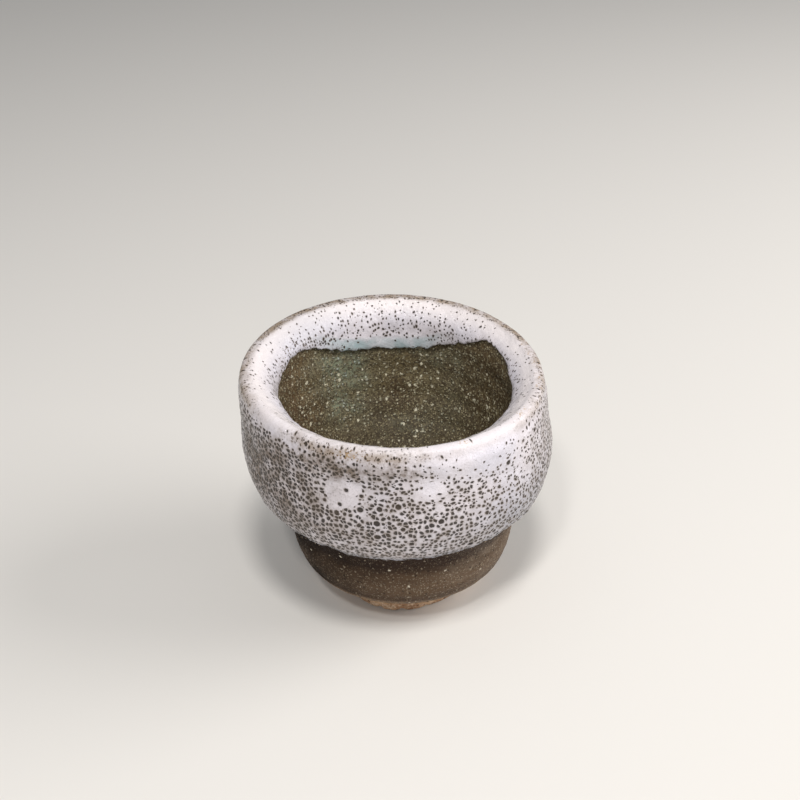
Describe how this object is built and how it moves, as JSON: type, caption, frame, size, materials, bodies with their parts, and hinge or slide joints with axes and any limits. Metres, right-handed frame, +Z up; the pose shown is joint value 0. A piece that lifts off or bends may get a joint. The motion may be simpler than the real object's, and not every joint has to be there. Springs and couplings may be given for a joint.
{
  "type": "small pottery bowl",
  "caption": "Small thick-walled stoneware bowl with an inset foot ring, dark slip below, a dark lining and a thick white glaze coat round the rim.",
  "frame": {"origin": "middle of the object's footprint, on the surface it stands on", "axes": "+Z up through the mouth; +X to the right of someone who faces the front that the picture shows; +Y away from them"},
  "size_m": [0.0575, 0.0575, 0.048],
  "materials": {
    "bare_clay": "matte",
    "iron_slip": "satin",
    "dark_lining": "satin",
    "white_glaze": "gloss"
  },
  "bodies": {
    "root": {"clay_body": "bare_clay", "iron_slip": "iron_slip", "inner_lining": "dark_lining", "white_glaze": "white_glaze"}
  },
  "joints": []
}
